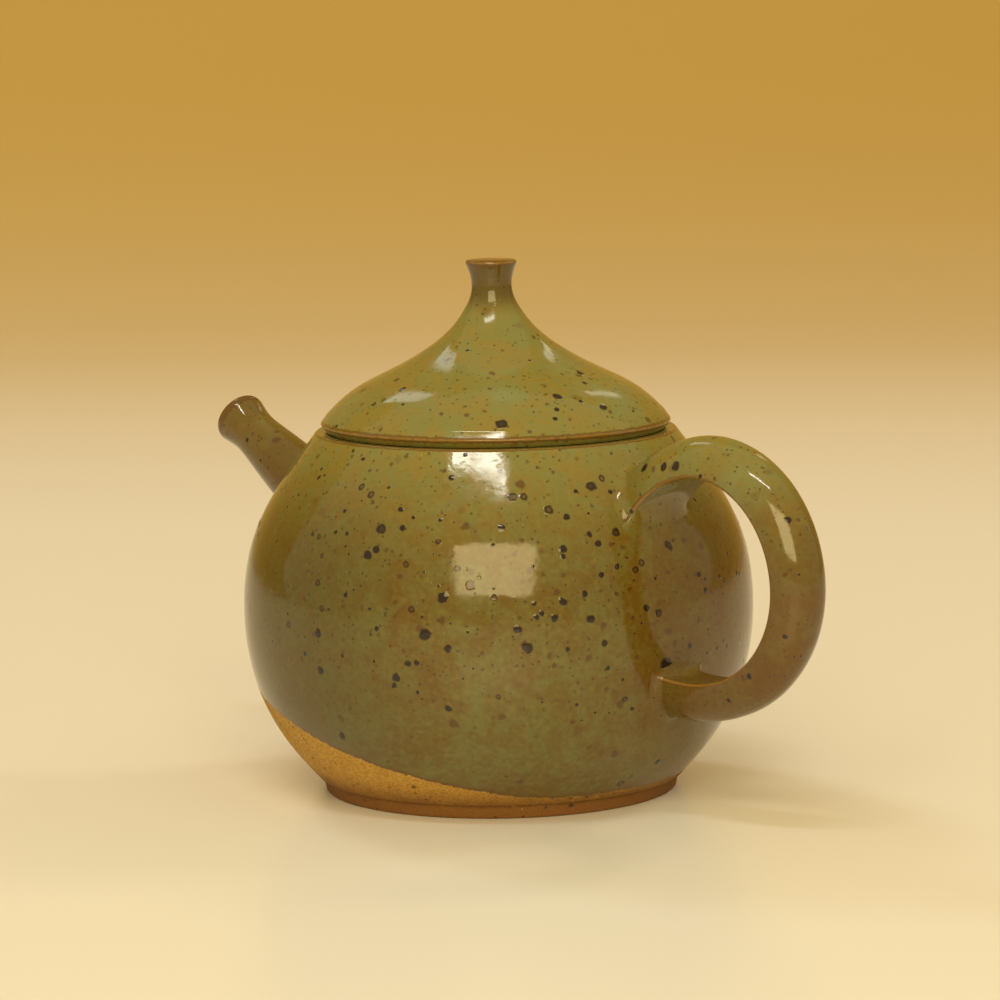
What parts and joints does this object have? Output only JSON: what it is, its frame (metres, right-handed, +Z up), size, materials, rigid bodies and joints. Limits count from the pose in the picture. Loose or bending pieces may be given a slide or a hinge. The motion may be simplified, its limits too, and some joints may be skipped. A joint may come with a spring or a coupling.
{
  "type": "teapot",
  "caption": "Small round stoneware teapot with a slim straight spout, a C-shaped strap handle and a loose conical lid with a waisted knob.",
  "frame": {"origin": "centre of the foot ring on the plane the pot stands on, on the body's axis", "axes": "+Z up along the body's axis, +X towards the handle, so the spout points along -X, +Y to the left of someone holding the handle"},
  "size_m": [0.1415, 0.0848, 0.0883],
  "materials": {
    "glaze": "glossy olive celadon glaze with iron specks",
    "bare_clay": "unglazed sandy stoneware clay"
  },
  "bodies": {
    "pot": {"body_wall": "glaze", "foot_ring": "bare_clay", "lid_seat": "glaze", "spout": "glaze", "strainer_dome": "glaze", "handle": "glaze"},
    "lid": {"lid_dome": "glaze", "lid_flange": "glaze", "lid_knob": "glaze"}
  },
  "joints": [
    {"name": "lid_lift", "type": "slide", "parent": "pot", "child": "lid", "axis": [0, 0, 1], "range_m": [0, 0.06]}
  ]
}
